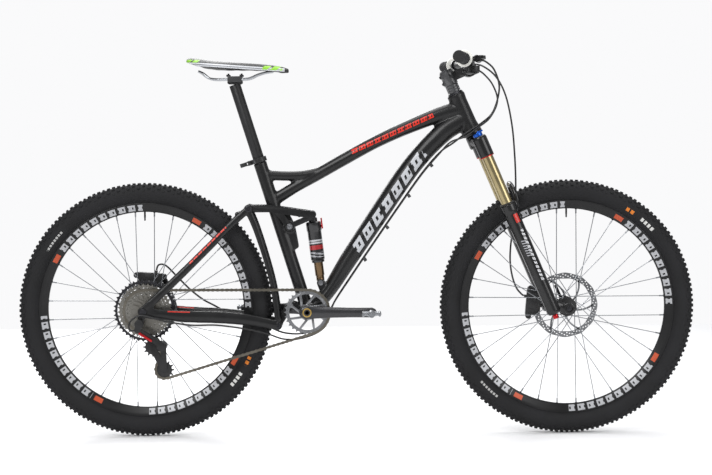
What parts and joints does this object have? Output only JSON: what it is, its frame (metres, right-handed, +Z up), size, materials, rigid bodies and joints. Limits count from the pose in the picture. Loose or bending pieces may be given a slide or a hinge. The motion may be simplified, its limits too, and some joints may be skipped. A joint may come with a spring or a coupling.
{
  "type": "mountain bike",
  "caption": "Full-suspension mountain bike with telescopic fork, linkage rear end, rear shock, disc brakes, single chainring and wide flat handlebar.",
  "frame": {"origin": "on the ground, midway between the two axles, in the middle plane of the frame", "axes": "+X forward, +Y to the rider's left, +Z up"},
  "size_m": [1.8538, 0.7546, 1.0418],
  "materials": {
    "frame_black": "satin black paint",
    "link_black": "satin anodised black",
    "bearing_steel": "ground steel",
    "alloy_black": "bead-blasted black",
    "pivot_grey": "machined aluminium",
    "hose_black": "matt black sheath",
    "chain_steel": "oiled steel",
    "rail_steel": "polished tube",
    "saddle_skin": "black cover with pale flanks",
    "fork_black": "gloss black paint",
    "stanchion_gold": "pale gold hard anodising",
    "grip_rubber": "ribbed rubber",
    "control_black": "black",
    "lever_black": "black anodised",
    "dial_blue": "blue anodised",
    "knob_red": "red anodised",
    "axle_steel": "dark steel",
    "tyre_rubber": "knobbly black rubber",
    "rim_black": "satin black with pale bands",
    "spoke_steel": "bright stainless steel",
    "disc_steel": "stainless steel",
    "cog_steel": "nickel-plated steel",
    "crank_grey": "dark grey",
    "ring_alloy": "bright aluminium",
    "shock_gold": "bronze anodised",
    "shock_black": "gloss black",
    "pedal_alloy": "cast aluminium",
    "pulley_black": "black"
  },
  "bodies": {
    "frame": {"head_tube": "frame_black", "top_tube": "frame_black", "down_tube": "frame_black", "seat_tube": "frame_black", "bb_shell": "frame_black", "bearing_cups": "bearing_steel", "seat_collar": "alloy_black", "pivot_hardware": "pivot_grey", "rear_brake_hose": "hose_black", "shift_housing": "hose_black", "chain": "chain_steel"},
    "seat_qr": {"seat_qr_lever": "alloy_black"},
    "seatpost": {"seatpost": "alloy_black", "saddle_clamp": "pivot_grey", "saddle_rails": "rail_steel", "saddle": "saddle_skin"},
    "steering": {"fork_crown": "fork_black", "stanchions": "stanchion_gold", "stem": "alloy_black", "handlebar": "alloy_black", "grips": "grip_rubber", "brake_masters": "control_black", "shifter_body": "control_black"},
    "compression_dial": {"compression_dial": "dial_blue"},
    "rebound_knob": {"rebound_knob": "knob_red"},
    "brake_lever_right": {"brake_lever_right": "lever_black"},
    "brake_lever_left": {"brake_lever_left": "lever_black"},
    "shift_paddle": {"shift_paddle": "lever_black"},
    "fork_lowers": {"fork_lowers": "fork_black", "front_caliper": "control_black", "front_axle": "axle_steel", "front_brake_hose": "hose_black"},
    "front_wheel": {"front_tyre": "tyre_rubber", "front_rim": "rim_black", "front_spokes": "spoke_steel", "front_hub": "alloy_black", "front_rotor": "disc_steel"},
    "rear_triangle": {"chainstays": "frame_black", "seatstays": "frame_black", "rear_axle": "axle_steel", "rear_caliper": "control_black", "derailleur": "alloy_black"},
    "rocker": {"rocker_link": "link_black"},
    "lower_link": {"lower_link": "link_black"},
    "shock_shaft": {"shock_shaft": "shock_gold"},
    "shock_can": {"shock_can": "shock_black"},
    "shock_lever": {"shock_lever": "knob_red"},
    "rear_wheel": {"rear_tyre": "tyre_rubber", "rear_rim": "rim_black", "rear_spokes": "spoke_steel", "rear_hub": "alloy_black", "rear_rotor": "disc_steel"},
    "cassette": {"cassette": "cog_steel"},
    "crank": {"crank_arms": "crank_grey", "chainring": "ring_alloy"},
    "pedal_right": {"pedal_right": "pedal_alloy"},
    "pedal_left": {"pedal_left": "pedal_alloy"},
    "derailleur_cage": {"derailleur_cage": "alloy_black"},
    "guide_pulley": {"guide_pulley": "pulley_black"},
    "tension_pulley": {"tension_pulley": "pulley_black"}
  },
  "joints": [
    {"name": "seat_qr_open", "type": "hinge", "parent": "frame", "child": "seat_qr", "pos_m": [-0.2878, -0.014, 0.74935], "axis": [-0.2974, 0, 0.9548], "range_deg": [0, 120]},
    {"name": "seatpost_height", "type": "slide", "parent": "frame", "child": "seatpost", "axis": [-0.2974, 0, 0.9548], "range_m": [-0.15, 0.04]},
    {"name": "steer", "type": "hinge", "parent": "frame", "child": "steering", "pos_m": [0.29754, 0, 0.88177], "axis": [-0.3907, 0, 0.9205], "range_deg": [-60, 60], "deforming": ["rear_brake_hose", "shift_housing"]},
    {"name": "compression_turn", "type": "hinge", "parent": "steering", "child": "compression_dial", "pos_m": [0.33381, -0.065, 0.81678], "axis": [-0.3907, 0, 0.9205], "range_deg": [0, 90]},
    {"name": "rebound_turn", "type": "hinge", "parent": "fork_lowers", "child": "rebound_knob", "pos_m": [0.53934, -0.065, 0.33259], "axis": [-0.3907, 0, 0.9205], "range_deg": [-180, 180]},
    {"name": "brake_right_pull", "type": "hinge", "parent": "steering", "child": "brake_lever_right", "pos_m": [0.32951, -0.24545, 1.02002], "axis": [0, 0, -1], "range_deg": [0, 18], "stiffness_Nm_per_rad": 0.5, "springref_deg": -11.46},
    {"name": "brake_left_pull", "type": "hinge", "parent": "steering", "child": "brake_lever_left", "pos_m": [0.32951, 0.24545, 1.02002], "axis": [0, 0, 1], "range_deg": [0, 18], "stiffness_Nm_per_rad": 0.5, "springref_deg": -11.46},
    {"name": "shift_push", "type": "hinge", "parent": "steering", "child": "shift_paddle", "pos_m": [0.31537, -0.18112, 0.99002], "axis": [0, 0, 1], "range_deg": [0, 25], "stiffness_Nm_per_rad": 0.3, "springref_deg": -8.59},
    {"name": "fork_travel", "type": "slide", "parent": "steering", "child": "fork_lowers", "axis": [-0.3907, 0, 0.9205], "range_m": [0, 0.12], "stiffness_N_per_m": 8000, "springref_m": -0.02, "deforming": ["front_brake_hose"]},
    {"name": "front_wheel_spin", "type": "hinge", "parent": "fork_lowers", "child": "front_wheel", "pos_m": [0.578, 0, 0.349], "axis": [0, 1, 0], "continuous": true},
    {"name": "rear_travel", "type": "hinge", "parent": "frame", "child": "rear_triangle", "pos_m": [-0.038, 0, 0.47], "axis": [0, 1, 0], "range_deg": [0, 12.3], "stiffness_Nm_per_rad": 2500, "springref_deg": -2.58, "deforming": ["chain"]},
    {"name": "rocker_turn", "type": "hinge", "parent": "frame", "child": "rocker", "pos_m": [-0.18, 0, 0.576], "axis": [0, 1, 0], "range_deg": [0, 30.4]},
    {"name": "lower_link_turn", "type": "hinge", "parent": "frame", "child": "lower_link", "pos_m": [-0.18, 0, 0.36], "axis": [0, 1, 0], "range_deg": [0, 46.6]},
    {"name": "shock_tilt", "type": "hinge", "parent": "frame", "child": "shock_shaft", "pos_m": [-0.097, 0, 0.42], "axis": [0, 1, 0], "range_deg": [0, 1.8]},
    {"name": "shock_stroke", "type": "slide", "parent": "shock_shaft", "child": "shock_can", "axis": [0.1168, 0, -0.9932], "range_m": [0, 0.0355]},
    {"name": "shock_lever_turn", "type": "hinge", "parent": "shock_can", "child": "shock_lever", "pos_m": [-0.10013, 0, 0.57498], "axis": [0.9932, 0, 0.1168], "range_deg": [0, 80]},
    {"name": "rear_wheel_spin", "type": "hinge", "parent": "rear_triangle", "child": "rear_wheel", "pos_m": [-0.578, 0, 0.349], "axis": [0, 1, 0], "continuous": true},
    {"name": "crank_spin", "type": "hinge", "parent": "frame", "child": "crank", "pos_m": [-0.134, 0, 0.343], "axis": [0, 1, 0], "continuous": true},
    {"name": "cassette_spin", "type": "hinge", "parent": "rear_triangle", "child": "cassette", "pos_m": [-0.578, 0, 0.349], "axis": [0, 1, 0], "continuous": true},
    {"name": "pedal_right_spin", "type": "hinge", "parent": "crank", "child": "pedal_right", "pos_m": [0.041, -0.11, 0.343], "axis": [0, 1, 0], "continuous": true},
    {"name": "pedal_left_spin", "type": "hinge", "parent": "crank", "child": "pedal_left", "pos_m": [-0.309, 0.11, 0.343], "axis": [0, 1, 0], "continuous": true},
    {"name": "cage_swing", "type": "hinge", "parent": "rear_triangle", "child": "derailleur_cage", "pos_m": [-0.528, -0.06, 0.256], "axis": [0, 1, 0], "range_deg": [-20, 15], "stiffness_Nm_per_rad": 2},
    {"name": "guide_spin", "type": "hinge", "parent": "derailleur_cage", "child": "guide_pulley", "pos_m": [-0.557, -0.0412, 0.25], "axis": [0, 1, 0], "continuous": true},
    {"name": "tension_spin", "type": "hinge", "parent": "derailleur_cage", "child": "tension_pulley", "pos_m": [-0.526, -0.0412, 0.187], "axis": [0, 1, 0], "continuous": true}
  ],
  "couplings": [
    {"joint": "rocker_turn", "follows": "rear_travel", "ratio": 2.452},
    {"joint": "lower_link_turn", "follows": "rear_travel", "ratio": 3.73},
    {"joint": "shock_tilt", "follows": "rear_travel", "ratio": 0.1408},
    {"joint": "shock_stroke", "follows": "rear_travel", "m_per_rad": 0.1643},
    {"joint": "cassette_spin", "follows": "crank_spin", "ratio": 1.0714},
    {"joint": "guide_spin", "follows": "crank_spin", "ratio": -2.5},
    {"joint": "tension_spin", "follows": "crank_spin", "ratio": 2.5}
  ]
}
